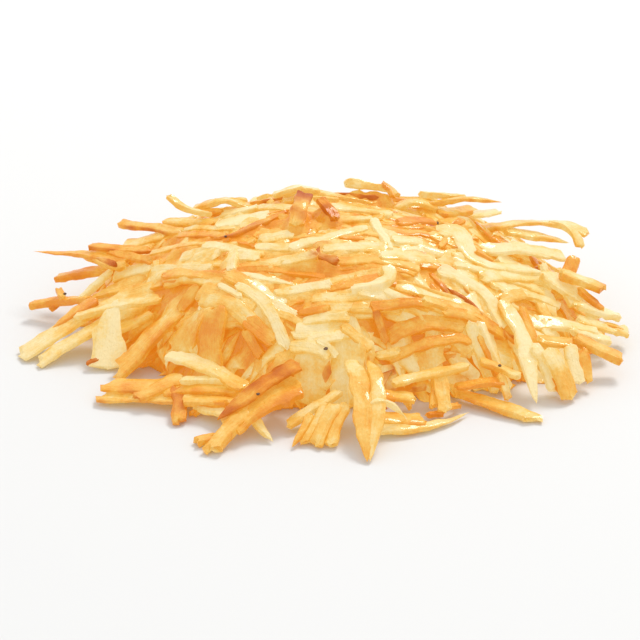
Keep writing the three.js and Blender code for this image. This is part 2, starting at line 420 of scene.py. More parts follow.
def shredFaces(n):  # quads between its rings, and a fan of triangles over each end
    m = len(sectionX)
    around = [(j, (j + 1) % m) for j in range(m)]
    quads = [(i * m + m + j, i * m + m + k, i * m + k, i * m + j) for i in range(n - 1) for j, k in around]
    first = [(k, j, n * m) for j, k in around]
    last = [((n - 1) * m + j, (n - 1) * m + k, n * m + 1) for j, k in around]
    return quads + first + last


facesFor = {n: shredFaces(n) for n in range(shred["rings"][0], shred["rings"][1] + 1)}

# the pieces that shreds are joined into, by the tone up to which they belong there, and their slots
pieces = {
    "cream_shreds": (0.24, "pale_potato"),
    "straw_shreds": (0.38, "pale_potato"),
    "golden_shreds": (0.54, "fried_potato"),
    "amber_shreds": (math.inf, "fried_potato"),
    "browned_shreds": (math.inf, "browned_potato"),
}
brownedFrom = 0.55  # a shred with more crust than this is a browned one, whatever its tone
laid = {name: [] for name in pieces}


def addShred(points, width=4.6, thick=1.6, sink=0.5, carries=True, **look):
    look = {**plainLook, **look}
    thick = min(thick, 0.8 * width)
    middle, roll, length = layShred(points, width, thick, sink)
    roll = roll + look["roll"]
    verts, cooksAndShades, grains, full = shredMesh(middle, roll, length, width, thick, look)
    if carries:
        profile = np.interp(np.linspace(0, 1, len(middle)), np.linspace(0, 1, len(full)), full)
        raiseMap(middle, width, thick, roll, profile, max(look["tone"], look["brown"]))
    kind = next(name for name, (most, slot) in pieces.items() if look["tone"] < most)
    if look["brown"] > brownedFrom:
        kind = "browned_shreds"
    laid[kind].append((verts, cooksAndShades, grains, len(full)))


def pathFrom(x, y, heading, length, bow=0.0, rise=(0, 0)):
    across = np.array([-math.sin(heading), math.cos(heading)])
    forward = np.array([math.cos(heading), math.sin(heading)])
    points = []
    for t in (-0.5, -0.25, 0, 0.25, 0.5):
        spot = np.array([x, y]) + forward * t * length + across * bow * (1 - 4 * t * t)
        points.append((*spot, float(np.interp(t, np.linspace(-0.5, 0.5, len(rise)), rise))))
    return points


# The shreds that can be told apart, each listed one by one. x and y are its middle, and way is where its
# finish points, in degrees from +X. bow bends it to its left, and rise gives its least heights from
# start to finish, where it isn't simply lying on others.

handLaid = {"thick": 1.4, "finish": "blunt", "torn": 1.0, "blister": 0.15}
cutSlab = {"thick": 1.2, "slant": 0.6, "ragged": 0.05, "torn": 0.4}  # clean and cut aslant


def at(x, y, way, length, width, tone=plainLook["tone"], bow=0.0, rise=(0, 0), **look):
    return through(pathFrom(x, y, math.radians(way), length, bow, rise), width, tone, **look)


def through(points, width, tone, **look):
    return {**handLaid, "points": points, "width": width, "tone": tone, **look}


# x, y, way, length, width, tone
rimShreds = [
    # left side, from the table up
    at(-63, -11, 207, 30, 4.6, 0.34, toneTip=0.08, rise=(12, 7, 1), torn=2, ragged=0.15),
    at(-64, -8, 197, 38, 6, 0.4, bow=-2, toneTip=0.05, rise=(15, 9, 1), torn=3, ragged=0.15),
    at(-68, -5, 202, 13, 4, 0.66, rise=(12, 6), brownEdge=0.3, finish="taper"),
    at(-56, -8, 175, 24, 3.2, 0.28, rise=(16, 9)),
    at(-54, 3, 182, 24, 4.6, 0.58, rise=(17, 9), finish="taper"),
    at(-57, -14, 260, 14, 8.6, 0.05, bow=-1, sink=0, toneTip=0.25, rise=(14, 8, 1), start="taper"),
    at(-62, -20, 190, 3, 1.4, brown=0.9, rise=(3, 2)),
    at(-52, -11, 200, 12, 3.6, 0.42, rise=(11, 7)),
    at(-44, -18, 204, 21, 2.6, 0.68, rise=(8, 1)),
    at(-44, -16, 204, 23, 2.9, 0.52, rise=(11, 3), slant=0.8),
    at(-73, 5, 157, 20, 2.6, 0.74, bow=-1, thick=2, rise=(10, 6, 4), brownTip=0.4),
    at(-73, 7, 110, 4, 2.2, 0.55, rise=(8, 9), brownTip=0.4),
    at(-75, 7, 195, 3, 1.8, 0.7, brown=0.4, rise=(6, 4)),
    at(-67, 13, 163, 17, 3.4, 0.74, thick=2, rise=(14, 9), brownEdge=0.3),
    at(-63, 6, 210, 10, 2.4, 0.1, rise=(15, 9)),
    at(-53, 7, 172, 12, 4, 0, rise=(18, 13)),
    at(-68, 16, 156, 31, 4.4, 0.72, rise=(18, 14), brownEdge=0.4, finish="spike"),
    at(-57, 14, 162, 19, 2.4, 0.74, rise=(20, 18), brownEdge=0.4, torn=1.2),
    at(-54, 10, 148, 15, 2.2, 0.6, rise=(19, 18), brownStart=0.3),
    at(-62, 12, 142, 18, 3, 0.42, rise=(17, 15), finish="taper"),
    at(-60, 8, 140, 8, 1.6, brown=0.8, rise=(18, 18), finish="taper"),
    # the back of the left side
    at(-51, 22, 165, 13, 5.4, 0.4, thick=1, rise=(20, 15)),
    at(-49, 25, 145, 24, 3, 0.66, rise=(22, 18), brownEdge=0.5),
    at(-38, 22, 330, 18, 3.4, 0.6, rise=(21, 25)),
    at(-38, 22, 176, 12, 1.8, 0.3, bow=2, thick=1.4, rise=(26, 24.5, 26, 31)),
    at(-28, 29, 0, 12, 3, 0.3, rise=(25, 27, 26)),
    at(-28, 26, 0, 18, 6, 0.5, rise=(25, 28, 25), brown=0.14, blister=0.5),
    at(-32, 23, 0, 7, 2.4, 0.72, thick=1, brown=0.25, rise=(26, 26)),
    at(-8, 25, 2, 13, 5, 0.3, rise=(30, 32, 31), blister=0.6),
    at(-15, 28, 3, 13, 1.8, 0.6, rise=(26, 28), brownEdge=0.4),
    # front left
    at(-48, -35, 170, 18, 6, 0.64, rise=(4.5, 3.2), brownEdge=0.5, **cutSlab),
    at(-48, -38, 172, 20, 5.4, 0.44, rise=(3, 1.6), brownEdge=0.4, **cutSlab),
    at(-43, -37, 200, 13, 5.4, 0.68, rise=(6, 3), brownTip=0.35),
    at(-38, -43, 278, 11, 3.8, 0.84, thick=1.8, brown=0.5, rise=(5, 1)),
    at(-30, -44, 150, 12, 1.8, 0.72, rise=(6, 2), brownTip=0.3),
    at(-29, -46, 137, 11, 3, 0.22, rise=(4, 2)),
    at(-32, -43, 210, 5, 1.8, 0.78, rise=(3, 1)),
    at(-32, -39, 352, 20, 5.4, 0.56, rise=(4, 6, 6)),
    at(-28, -44, 350, 18, 3.8, 0.52, rise=(4, 5, 5)),
    at(-31, -38, 355, 13, 2.5, 0.1, rise=(7, 8)),
    at(-31, -34, 325, 26, 4.8, 0.08, toneTip=0.5, rise=(8, 9.5, 7)),
    at(-31, -21, 305, 5, 1.6, brown=0.9, rise=(4, 4)),
    at(-24, -56, 232, 15, 4.2, 0.58, thick=2.4, rise=(6, 1), brownTip=0.15, torn=2, blister=0.3),
    at(-30, -57, 190, 5, 2.8, 0.66, thick=2, rise=(2, 1)),
    at(-16, -53, 308, 9, 2.8, 0.4, toneTip=0.1, rise=(5, 1), finish="taper"),
    at(-16, -48, 214, 22, 9.2, 0.68, thick=2, brown=0.12, rise=(9, 7, 3), blister=0.5, torn=2),
    at(-17, -46, 215, 24, 5.4, 0.8, thick=1, brown=0.6, rise=(13, 10, 5), start="blunt", finish="taper"),
    # front
    at(-3, -47, 213, 16, 2.8, 0.33, rise=(7, 2)),
    at(-3, -53, 238, 11, 2.8, 0.58, rise=(6, 1)),
    at(-6, -55, 240, 10, 2.4, 0.62, rise=(5, 1), finish="taper"),
    at(0, -54, 240, 11, 4, 0.5, rise=(7, 1)),
    at(3, -54, 250, 11, 3.2, 0.53, rise=(7, 1)),
    at(17, -44, 5, 12, 4, 0.66, rise=(7, 5)),
    at(18, -49, 0, 14, 5.4, 0.58, rise=(3, 2)),
    at(24, -48, 18, 27, 4.2, 0.42, bow=-3, toneTip=0.06, rise=(2, 1), finish="spike"),
    at(28, -46, 15, 5, 1.8, 0.8, brown=0.5, rise=(2, 2)),
    at(33, -43, 40, 4, 1.8, 0.8, brown=0.5, rise=(3, 2)),
    at(28, -40, 262, 9, 2.2, 0.5, rise=(7, 3)),
    at(30, -41, 280, 10, 3.6, 0.4, rise=(8, 3), cup=0.3),
    at(24, -38, 20, 4, 1.9, brown=0.5, rise=(5, 5)),
    at(21, -41, 300, 4, 1.6, 0.5, rise=(3, 2)),
    at(27, -37, 200, 22, 3.2, 0.34, rise=(9, 8)),
    at(8, -49, 277, 34, 4.8, 0.46, bow=1, toneTip=0.6, rise=(11, 12, 8, 1), start="taper", finish="taper"),
    at(11, -50, 270, 32, 3.8, 0.36, bow=2, rise=(11, 12, 7, 1), start="taper", finish="taper"),
    at(15, -51, 10, 11, 1.8, 0.1, rise=(7, 10, 8, 3), finish="taper"),
    # right side, from the table up
    at(43, -41, 330, 24, 4.2, 0.6, toneTip=0.36, rise=(3, 1), slant=1),
    at(40, -37, 3, 13, 3.3, 0.86, brown=0.15, rise=(5, 6, 6)),
    at(46, -38, 285, 6, 2.2, 0.48, rise=(8, 3), brownTip=0.3),
    at(45, -34, 325, 12, 2.6, 0.4, rise=(9, 8)),
    at(61, -33, 303, 10, 5.2, 0.24, toneTip=0.55, rise=(12, 8, 1), blister=0.4),
    at(57, -31, 310, 9, 3.8, 0, rise=(12, 8, 2), blister=0.6),
    at(60, -33, 300, 6, 2.4, 0.84, rise=(6, 2)),
    at(65, -29, 285, 8, 3.6, 0.1, rise=(11, 3), blister=0.5),
    at(68, -28, 275, 6, 3, 0.64, rise=(9, 3)),
    at(61, -20, 3, 10, 4.6, 0.42, rise=(9, 8)),
    at(72, -22, 347, 13, 3.8, 0.68, thick=2.4, rise=(10, 5), brownEdge=0.25),
    at(71, -14, 0, 12, 3.4, 0.08, rise=(9, 5), blister=0.6),
    at(75, -8, 12, 14, 4.4, 0.14, rise=(9, 4), blister=0.8, torn=1.5),
    at(74, -5, 8, 13, 3.4, 0.1, rise=(12, 7), blister=0.8, torn=1.5),
    at(79, -7, 10, 7, 2.2, 0.35, rise=(7, 4), finish="taper"),
    at(64, -12, 3, 18, 4.4, 0.08, rise=(10, 9, 7)),
    at(67, 0, 300, 7, 4.2, 0.18, rise=(14, 10)),
    at(65, 2, 338, 13, 7, 0.26, rise=(16, 11), blister=0.9, torn=1.5),
    at(72, -2, 328, 9, 6, 0.2, rise=(12, 7), blister=0.9, torn=1.5),
    at(70, 1, 342, 13, 3.6, 0.56, thick=2.2, rise=(17, 14), brownTip=0.3),
    at(72, -3, 320, 8, 1.7, 0.75, brown=0.35, rise=(14, 10)),
    at(62, 0, 255, 8, 2.2, 0.58, rise=(12, 7), brownEdge=0.3),
    at(66, 5, 243, 12, 3.8, 0.6, thick=2, rise=(18, 11), brownEdge=0.35, blister=0.4),
    # the back of the right side
    at(58, 23, 3, 32, 5.4, 0.5, bow=1, toneTip=0.3, rise=(20, 22, 22, 19), brownEdge=0.3),
    at(67, 20, 322, 11, 2.6, 0.3, bow=2, rise=(22, 22, 21, 18), brownEdge=0.2),
    at(59, 20, 356, 18, 6, 0.42, toneTip=0.2, rise=(21, 20, 18), finish="taper", torn=2),
    at(54, 12, 13, 26, 4.6, 0, rise=(21, 20, 16), blister=0.3),
    at(45, 23, 5, 8, 5.4, 0, thick=1, rise=(25, 26)),
    at(37, 26, 40, 14, 4.4, 0.5, rise=(26, 23)),
    at(33, 28, 0, 12, 2.2, 0.12, rise=(29, 28), torn=1.5),
    at(39, 25, 0, 20, 2.4, 0.62, rise=(27, 29, 28), brownEdge=0.35, finish="taper"),
    at(25, 24, 0, 13, 4.2, 0.42, rise=(26, 29, 26), blister=0.4),
]

topShreds = [
    # broad flakes that the others lie on
    at(-4, -33, 262, 15, 9, 0.3, blister=0.7, torn=2),
    at(5, -32, 280, 15, 8, 0.22, blister=0.7, torn=2),
    at(53, -3, 12, 20, 9, 0.12, blister=0.5),
    at(56, 6, 0, 18, 8, 0.1, blister=0.4),
    at(18, -22, 345, 20, 9, 0.3, blister=0.4),
    at(5, -23, 0, 17, 8, 0.35, blister=0.4),
    at(30, -24, 340, 20, 8, 0.4, torn=2),
    at(-20, -24, 330, 20, 9, 0.5, blister=0.4),
    at(-30, -30, 262, 14, 9, 0.66, torn=2),
    at(15, -8, 350, 18, 8, 0.3),
    at(-29, -19, 205, 22, 9, 0.58, blister=0.4),
    at(-44, -17, 217, 27, 6.4, 0.66, thick=1.8, sink=0.1, rise=(13, 9, 2.5), slant=0.6, brownEdge=0.2),
    # left
    at(-42, -4, 165, 12, 3.4, 0.85, brown=0.15, finish="taper"),
    at(-38, 8, 333, 32, 2.7, 0.5),
    at(-36, 13, 145, 22, 2.5, 0.65, brownEdge=0.3),
    at(-34, 16, 150, 23, 2.1, 0.3),
    at(-34, -2, 332, 20, 2.5, 0.35),
    at(-39, -2, 328, 20, 4.2, 0.06),
    at(-42, -5, 330, 13, 1.8, 0.85, brown=0.3),
    at(-34, 1, 328, 12, 4.1, 0.08, blister=0.3),
    at(-25, -1, 333, 18, 3, 0.22),
    at(-13, 19, 328, 16, 4.6, 0.35),
    at(-24, 22, 350, 11, 2.7, 0.06),
    at(-23, 15, 355, 15, 6.2, 0, thick=1.2),
    at(-13, -2, 350, 13, 3.4, 0.15),
    at(-13, 2, 10, 9, 3.4, 0.08),
    at(-21, 9, 205, 24, 3, 0.82, thick=2, bow=2, sink=0.1, brown=0.5, start="taper", finish="spike"),
    # the top
    at(-4, 24, 0, 16, 5.2, 0.3, blister=0.5),
    at(-4, 28, 0, 17, 5.5, 0.1, rise=(27, 29, 28), blister=0.5),
    at(6, 25, 357, 20, 4.3, 0.25, blister=0.5),
    at(10, 17, 350, 17, 3.9, 0.2, blister=0.5),
    at(5, 11, 0, 16, 3.2, 0.35, blister=0.4),
    at(-7, 8, 340, 13, 3.2, 0.6),
    at(-7, 10, 262, 13, 4.3, 0.7, rise=(35, 34, 31), brownStart=0.6, brown=0.35, start="blunt"),
    at(1, 11, 300, 9, 3, 0.75, brown=0.6, rise=(34, 33, 31), start="blunt"),
    at(10, 25, 355, 14, 1.9, 0.9, brown=0.75, rise=(30, 29), start="taper"),
    at(12, 27, 0, 13, 2.7, 0.26, thick=2, rise=(33, 32, 31), cup=0.3),
    at(18, 26, 300, 5, 3.9, 0.5, toneTip=0.8, rise=(32, 30)),
    at(25, 14, 25, 12, 3.9, 0.85, brown=0.25, torn=1.5),
    at(36, 18, 30, 10, 4.6, 0.38),
    at(22, 3, 20, 9, 3.9, 0),
    at(1, 1, 25, 24, 3.2, 0.08),
    at(15, 3, 286, 16, 2.6, 0),
    at(7, 0, 0, 6, 1.8, 0.75),
    at(24, -1, 25, 6, 2.1, 0, blister=0.6),
    at(32, 5, 70, 6, 1.8, 0.8, brown=0.15),
    at(37, 17, 50, 5, 1.8, 0.82, brown=0.3),
    at(38, 11, 280, 9, 2.1, 0.72),
    # the middle of the side that faces front
    at(12, -12, 0, 24, 1.8, 0.68),
    at(13, -10, 0, 24, 3.4, 0.58),
    at(8, -5, 0, 18, 4.3, 0.16),
    at(22, -6, 22, 16, 3.8, 0.14),
    at(1, -8, 309, 8, 2.3, bow=-3, sink=0.1, brown=0.8, start="taper"),
    at(-15, -9, 0, 26, 3.9, 0.48),
    at(-15, -12, 350, 31, 1.9, 0.8),
    at(-7, -10, 5, 9, 2.3, 0.28, blister=0.5, brownTip=0.4),
    at(-21, -5, 335, 8, 3.6, 0.08),
    at(-25, -7, 270, 9, 2.7, 0.05),
    at(-22, -11, 340, 46, 3.3, 0.63, bow=-3),
    at(-20, -14, 343, 25, 2.5, 0.08, start="taper", finish="taper"),
    at(-38, -6, 323, 15, 1.9, 0.85, brown=0.1),
    at(-33, -9, 328, 24, 3.4, 0.55),
    at(-32, -12, 330, 26, 2.3, 0.46),
    at(-21, -17, 323, 13, 4.3, 0.7),
    at(-15, -20, 330, 11, 3.2, 0, blister=0.3),
    at(8, -15, 10, 21, 2.8, 0.28),
    at(7, -18, 12, 16, 3.6, 0.82, brownStart=0.35, start="taper"),
    at(-6, -19, 10, 15, 2.6, 0.18),
    at(4, -22, 0, 15, 3.4, 0.26),
    at(1, -25, 0, 14, 3, 0.33),
    at(-11, -25, 340, 10, 2.5, 0.13),
    at(-11, -27, 345, 11, 2.3, 0.35),
    at(-3, -26, 0, 9, 1.9, 0.82),
    at(-36, -14, 214, 6, 3, 0.8),
    at(-33, -17, 275, 6, 1.7, 0),
    at(-26, -20, 322, 19, 5.7, 0.56),
    at(-26, -23, 322, 17, 4.6, 0.5),
    at(-25, -19, 315, 9, 1.7, 0),
    at(-17, -30, 330, 8, 4.1, 0.9),
    at(-17, -26, 312, 20, 3.2, 0.04, bow=2),
    at(-19, -32, 310, 7, 2.7, 0.82),
    at(14, -22, 0, 11, 3.4, 0.15, blister=0.5),
    at(13, -25, 7, 13, 3.1, 0.48),
    at(23, -23, 352, 10, 3.2, 0.6),
    at(19, -17, 335, 5, 2.3, 0.72),
    at(20, -19, 330, 10, 2.2, 0.85, brown=0.2),
    at(20, -21, 340, 12, 1.8, 0.04, bow=-2),
    through([(16, -13, 0), (17, -17, 0), (14, -20, 0), (10, -21, 0), (7, -20, 0)], 3.4, 0, thick=1.9),
    at(-1, -30, 5, 15, 4.3, 0.1),
    at(0, -28, 8, 12, 2.8, 0.12),
    at(0, -32, 8, 10, 3.2, 0.12),
    at(-4, -34, 350, 11, 3.6, 0.3),
    at(8, -31, 345, 8, 3, 0.46),
    at(0, -34, 345, 6, 1.8, 0, blister=0.6),
    at(26, -27, 188, 21, 4.1, 0.7),
    at(25, -24, 188, 27, 2.6, 0.84),
    at(27, -30, 190, 22, 2.7, 0.68),
    at(14, -28, 315, 5, 2.3, 0.9, brown=0.35),
    at(16, -32, 10, 6, 2.5, 0.4),
    # right
    at(28, -20, 0, 20, 2.7, 0.3),
    at(28, -18, 0, 18, 2.1, 0.35),
    at(34, -22, 10, 19, 3.2, 0.58),
    at(39, -23, 12, 17, 3.2, 0.66),
    at(41, -29, 312, 11, 3.4, 0.34),
    at(43, -30, 317, 10, 1.9, 0.75),
    at(44, -28, 317, 11, 3.1, 0.03, thick=2, start="blunt"),
    at(30, -7, 8, 11, 1.8, 0.85, brown=0.35),
    at(47, -2, 8, 26, 3.1, 0.22),
    at(51, 0, 35, 24, 4.3, 0.2),
    at(57, -5, 25, 15, 2.3, 0.18),
    at(50, -10, 40, 9, 3.2, 0.5),
    at(54, -15, 290, 9, 3.2, 0.62),
    through([(31, 10, 0), (36, 12, 0), (38, 7, 0), (40, 2, 0), (46, 1, 0), (58, 8, 0)], 5.7, 0),
    at(43, 4, 10, 5, 1.8, 0.55),
    at(59, 13, 300, 7, 2.3, 0.78, brown=0.35),
    at(60, 9, 265, 4, 1.8, brown=1),
    at(60, 9, 20, 5, 1.4, brown=0.95),
    at(62, 9, 15, 6, 2.5, 0.7),
    at(61, 6, 290, 6, 2.5, 0.04),
    at(30, -13, 300, 9, 2.5, 0.85, brown=0.5, start="taper", finish="taper"),
    at(37, -18, 322, 12, 2.7, brown=0.8, start="taper", finish="spike"),
    through([(30, -8, 0), (38, -9, 0), (43, -12, 0), (45, -16, 0), (47, -20, 0)], 3.9, 0.06),
    through(
        [(47, -13, 0), (50, -19, 13), (52, -28, 10), (53, -35, 7), (54, -41, 3)], 4.3, 0.06, finish="taper",
    ),
]

for row in rimShreds:
    addShred(**row, carries=False)
print("rim shreds laid:", len(rimShreds))

# the rest of the heap

filling = {
    "count": 1300,
    "length": (16, 46),
    "width": (2.2, 5.4),
    "thick": (0.8, 1.5),
    "flake": 0.3,  # share of wide thin pieces
    "flakeWidth": (5.5, 10.0),
    "flakeThick": 0.9,
    "flakeLength": 0.6,  # as a share of the others' length
    "sink": 0.95,
    "spread": 0.34,  # radians either side of the way most of them run
    "anyWay": 0.12,  # share that lies any way at all
    "fanned": (70, 50),  # mm from the middle, each way, at which they fan out in full
    "fan": (0.2, 0.7, 3),  # how much they do in the middle, how much more there, and the power between
    "mixed": 0.3,  # share of that distance over which the left and the right half mix
    "lengthwise": 0.7,  # how strongly they keep to the heap's length
    "bend": 0.09,  # sideways bow as a share of the length
    "shortest": 8,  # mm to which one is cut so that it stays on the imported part
    "cut": 0.85,  # share of its length that is left each time
    "broad": 5,  # mm from which one is frayed and torn, and how much
    "broadRagged": (0.3, 0.5),
    "broadTorn": (1.5, 3.0),
    "bunch": 0.5,  # how often a shred has others stuck along it
    "beside": (0.5, 0.8),  # how far apart they are, as a share of their width
    "bunchTurn": 0.12,  # how much each next one differs in way, length and tone
    "bunchLength": (0.7, 1.1),
    "bunchTone": 0.1,
    "under": 2.4,  # mm under the heap's outline that the loops fill to
    "lowest": 3.0,  # mm of outline under which nothing is filled
    "tries": 600,  # places looked at for each shred, to find one that needs it
    "luck": 1.2,  # mm by which chance may outweigh need
    "need": 0.2,  # mm that have to be missing there
    "overfull": 0.8,  # mm over the room there is, at which a bunch ends
}


def headingAt(x, y):  # shreds lie along the heap's length and fan out a little near its ends
    dx = (x - heap["middle"][0]) / filling["fanned"][0]
    dy = (y - heap["middle"][1]) / filling["fanned"][1]
    if rng.random() < filling["anyWay"]:
        return rng.uniform(-math.pi, math.pi)
    least, more, power = filling["fan"]
    fan = least + more * min(1, math.hypot(dx, dy)) ** power
    way = 1 if dx + rng.normal(0, filling["mixed"]) > 0 else -1
    return math.atan2(dy * fan, way * (filling["lengthwise"] + abs(dx))) + rng.normal(0, filling["spread"])


# how the shreds that are not listed one by one differ: middle and spread, or least and most
variety = {
    "zone": 26.0,  # mm across a paler or more golden part of the heap
    "zoneTone": 0.3,
    "tone": (0.32, 0.13),
    "ends": ["round", "blunt", "blunt", "taper"],
    "slant": (-1.2, 1.2),
    "twist": (0, 0.5),
    "roll": (0, 0.12),
    "cup": (0, 0.12),
    "torn": (0.4, 1.8),
    "blister": (0.1, 0.4),
    "toneTip": (0, 0.18),
    "toneEdge": (0.25, 0.15),
    "ragged": (0.1, 0.35),
    # share of them that has it, then least and most
    "brownEdge": (0.3, 0.1, 0.4),
    "brownTip": (0.16, 0.2, 0.5),
    "brown": (0.012, 0.15, 0.4),
}


def randomLook(x, y):
    zone = float(softNoise(np.array([x, y, 7.0]), variety["zone"]))
    middle, spread = variety["tone"]
    tone = float(np.clip(rng.normal(middle + variety["zoneTone"] * zone, spread), 0.0, 0.9))
    look = {
        "tone": tone,
        "start": str(rng.choice(variety["ends"])),
        "finish": str(rng.choice(variety["ends"])),
        "slant": rng.uniform(*variety["slant"]),
        "twist": rng.normal(*variety["twist"]),
        "roll": rng.normal(*variety["roll"]),
        "cup": rng.normal(*variety["cup"]),
        "torn": rng.uniform(*variety["torn"]),
        "blister": max(0, rng.normal(*variety["blister"])),
        "toneTip": float(np.clip(tone + rng.normal(*variety["toneTip"]), 0, 0.95)),
        "toneEdge": rng.normal(*variety["toneEdge"]),
        "ragged": rng.uniform(*variety["ragged"]),
    }
    for name in ("brownEdge", "brownTip", "brown"):
        often, least, most = variety[name]
        if rng.random() < often:
            look[name] = rng.uniform(least, most)
    return look


def reachesOut(points):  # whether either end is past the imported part
    return max(packedShare(*np.array(end[:2])) for end in (points[0], points[-1])) > 1.0


def placeInNeed(room):  # of some places tried, the one furthest below its outline, if that is enough
    rows = rng.integers(0, ny, filling["tries"])
    columns = rng.integers(0, nx, filling["tries"])
    need = room[rows, columns] - lying[rows, columns]
    best = np.argmax(need + rng.uniform(0, filling["luck"], filling["tries"]))
    return (gridX[columns[best]], gridY[rows[best]]) if need[best] >= filling["need"] else None


def shredSize():  # length, width and thickness
    length = rng.uniform(*filling["length"])
    width = rng.uniform(*filling["width"])
    thick = rng.uniform(*filling["thick"])
    if rng.random() < filling["flake"]:
        width = rng.uniform(*filling["flakeWidth"])
        thick = filling["flakeThick"]
        length *= filling["flakeLength"]
    return length, width, thick


def layBunch(room, x, y):  # a shred, and often others stuck along it; returns how many
    heading = headingAt(x, y)
    length, width, thick = shredSize()
    bow = rng.normal(0, filling["bend"])
    look = randomLook(x, y)
    if width > filling["broad"]:
        look["ragged"] = rng.uniform(*filling["broadRagged"])
        look["torn"] = rng.uniform(*filling["broadTorn"])
    others = int(rng.integers(1, 3)) if rng.random() < filling["bunch"] else 0
    for before in range(others + 1):
        if float(readMap(room, x, y) - readMap(lying, x, y)) < -filling["overfull"]:
            return before
        points = pathFrom(x, y, heading, length, bow * length)
        while reachesOut(points) and length > filling["shortest"]:
            length *= filling["cut"]
            points = pathFrom(x, y, heading, length, bow * length)
        addShred(points, width, thick, filling["sink"], **look)
        x += -math.sin(heading) * width * rng.uniform(*filling["beside"])
        y += math.cos(heading) * width * rng.uniform(*filling["beside"])
        heading += rng.normal(0, filling["bunchTurn"])
        length *= rng.uniform(*filling["bunchLength"])
        tone = look["tone"] + rng.normal(0, filling["bunchTone"])
        look = {**look, "tone": float(np.clip(tone, 0, 1))}
    return others + 1


def fillHeap(count):
    room = np.where(target > filling["lowest"], target - filling["under"], -9)
    filled = 0
    for again in range(count):
        place = placeInNeed(room)
        if place:
            filled += layBunch(room, *place)
    return filled


print("shreds in the heap:", fillHeap(filling["count"]))

# shreds that hang down the side all the way round and point outward
skirt = {
    "count": 120,
    "turns": (0, 2 * math.pi),
    "from": (0.6, 0.9),  # where they start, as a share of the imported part's reach
    "until": 0.99,  # and how far they may go
    "length": (12, 26),
    "width": (2.8, 6.6),
    "thick": (0.9, 1.4),
    "spread": 1.2,  # radians either side of straight outward
    "unevenly": 0.4,  # share of the even spacing by which one may be off
    "shortest": 6,
    "cut": 0.9,
    "bend": 0.1,
    "sink": 0.6,
}

# and the ones that lie out on the table along the back, where none is listed one by one
fringe = {
    **skirt,
    "count": 40,
    "turns": (0.62, 2.6),
    "from": (0.8, 0.96),
    "until": 1.13,
    "length": (11, 26),
    "width": (2.2, 5.6),
    "thick": (1.0, 1.6),
    "spread": 0.8,
}


def reachAt(turn, trial=10):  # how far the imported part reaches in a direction, from a trial point
    x = heap["middle"][0] + trial * math.cos(turn)
    y = heap["middle"][1] + trial * math.sin(turn)
    return trial / float(packedShare(np.array(x), np.array(y)))


def addRing(ring):
    for k in range(ring["count"]):
        first, last = ring["turns"]
        off = rng.uniform(-ring["unevenly"], ring["unevenly"])
        turn = first + (k + off) / ring["count"] * (last - first)
        length = rng.uniform(*ring["length"])
        heading = turn + rng.uniform(-ring["spread"], ring["spread"])
        start = reachAt(turn) * rng.uniform(*ring["from"])
        x = heap["middle"][0] + start * math.cos(turn)
        y = heap["middle"][1] + start * math.sin(turn)
        share = math.inf
        while share > ring["until"] and length > ring["shortest"]:
            length *= ring["cut"]
            share = packedShare(x + length * np.cos(heading), y + length * np.sin(heading))
        x += length / 2 * math.cos(heading)
        y += length / 2 * math.sin(heading)
        points = pathFrom(x, y, heading, length, rng.normal(0, ring["bend"]) * length)
        width = rng.uniform(*ring["width"])
        thick = rng.uniform(*ring["thick"])
        addShred(points, width, thick, ring["sink"], **randomLook(x, y))


addRing(fringe)
addRing(skirt)
print("shreds down the side:", fringe["count"] + skirt["count"])

# broken ends and bits of mash, stuck all over the heap
bits = {
    "count": 130,
    "length": (2.0, 6.0),
    "width": (1.2, 3.0),
    "thick": (0.8, 1.5),
    "sink": 0.7,
    "fromX": (-75, 75),
    "fromY": (-50, 72),
    "within": 0.97,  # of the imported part's reach
    "blister": (0.2, 0.9),
    "torn": (0.8, 1.8),
    "turn": 0.5,  # radians off the way of the shreds round it
    "bend": 0.4,  # mm
}


def addBit(x, y):
    length = rng.uniform(*bits["length"])
    width = min(rng.uniform(*bits["width"]), length)
    look = {**randomLook(x, y), "blister": rng.uniform(*bits["blister"]), "torn": rng.uniform(*bits["torn"])}
    heading = headingAt(x, y) + rng.normal(0, bits["turn"])
    points = pathFrom(x, y, heading, length, rng.normal(0, bits["bend"]))
    addShred(points, width, rng.uniform(*bits["thick"]), bits["sink"], **look)


def addBits(count):
    while count:
        x = rng.uniform(*bits["fromX"])
        y = rng.uniform(*bits["fromY"])
        if packedShare(np.array(x), np.array(y)) <= bits["within"]:
            addBit(x, y)
            count -= 1


addBits(bits["count"])
print("bits laid:", bits["count"])

for row in topShreds:
    addShred(**row)
print("top shreds laid:", len(topShreds))

# surfaces


def hexColour(code, alpha=1.0):  # sRGB hex to linear
    values = [int(code[i : i + 2], 16) / 255 for i in (1, 3, 5)]
    linear = [v / 12.92 if v <= 0.04045 else ((v + 0.055) / 1.055) ** 2.4 for v in values]
    return (*linear, alpha)


def addNode(tree, kind, settings=None, links=None):
    node = tree.nodes.new(kind)
    for name, value in (settings or {}).items():
        if name == "stops":
            while len(node.color_ramp.elements) < len(value):
                node.color_ramp.elements.new(0.5)
            for element, (position, colour) in zip(node.color_ramp.elements, value):
                element.position = position
                element.color = hexColour(colour)
        else:
            setattr(node, name, value)
    for name, value in (links or {}).items():
        socket = node.inputs[name]
        if isinstance(value, bpy.types.NodeSocket):
            tree.links.new(value, socket)
        else:
            socket.default_value = value
    return node


def emptyMaterial(name):
    material = bpy.data.materials.new(name)
    material.use_nodes = True
    material.node_tree.nodes.clear()
    return material, material.node_tree
